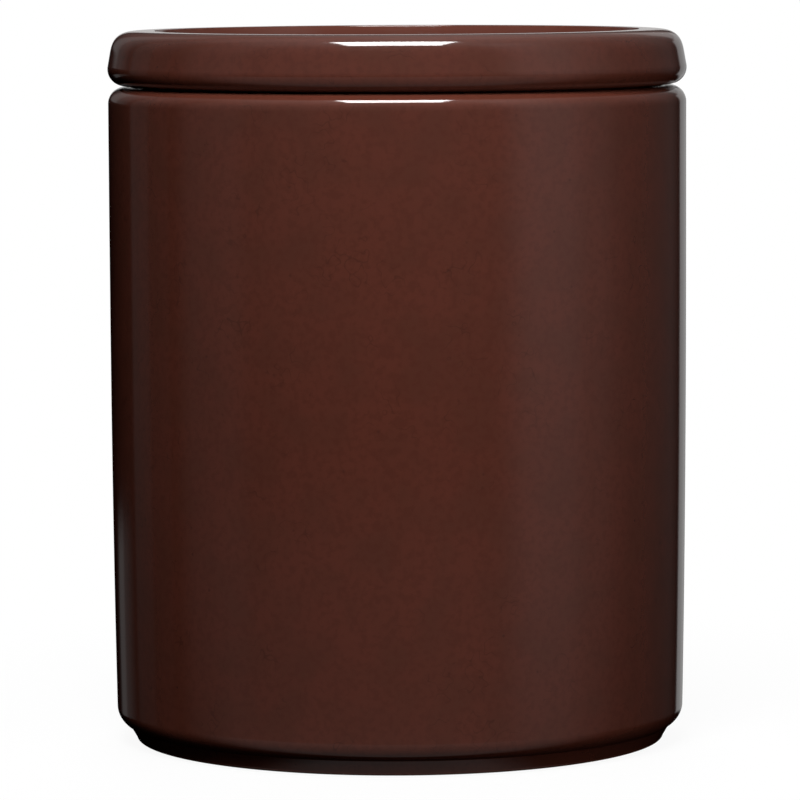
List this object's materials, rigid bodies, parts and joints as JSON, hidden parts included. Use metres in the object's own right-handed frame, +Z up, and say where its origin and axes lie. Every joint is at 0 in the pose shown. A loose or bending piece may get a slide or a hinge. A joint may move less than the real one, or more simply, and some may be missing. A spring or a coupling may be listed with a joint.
{
  "type": "ceramic storage jar",
  "caption": "Round glazed stoneware storage jar with a dished, rimmed lid that plugs into its mouth on a silicone ring.",
  "frame": {"origin": "middle of the foot ring, on the surface that the jar stands on", "axes": "+Z up along the jar's axis; +X and +Y level, and -Y towards the viewer of the picture"},
  "size_m": [0.1202, 0.1202, 0.1477],
  "materials": {
    "jar_glaze": "glossy chocolate-brown glaze on stoneware",
    "lid_glaze": "glossy chocolate-brown glaze on stoneware",
    "silicone": "satin milky silicone rubber"
  },
  "bodies": {
    "jar": {"jar": "jar_glaze"},
    "seal": {"lid_seal": "silicone"},
    "lid": {"lid": "lid_glaze"}
  },
  "joints": [
    {"name": "lid_lift", "type": "slide", "parent": "jar", "child": "seal", "axis": [0, 0, 1], "range_m": [0, 0.06]},
    {"name": "lid_turn", "type": "hinge", "parent": "seal", "child": "lid", "pos_m": [0, 0, 0.136], "axis": [0, 0, 1], "continuous": true}
  ]
}
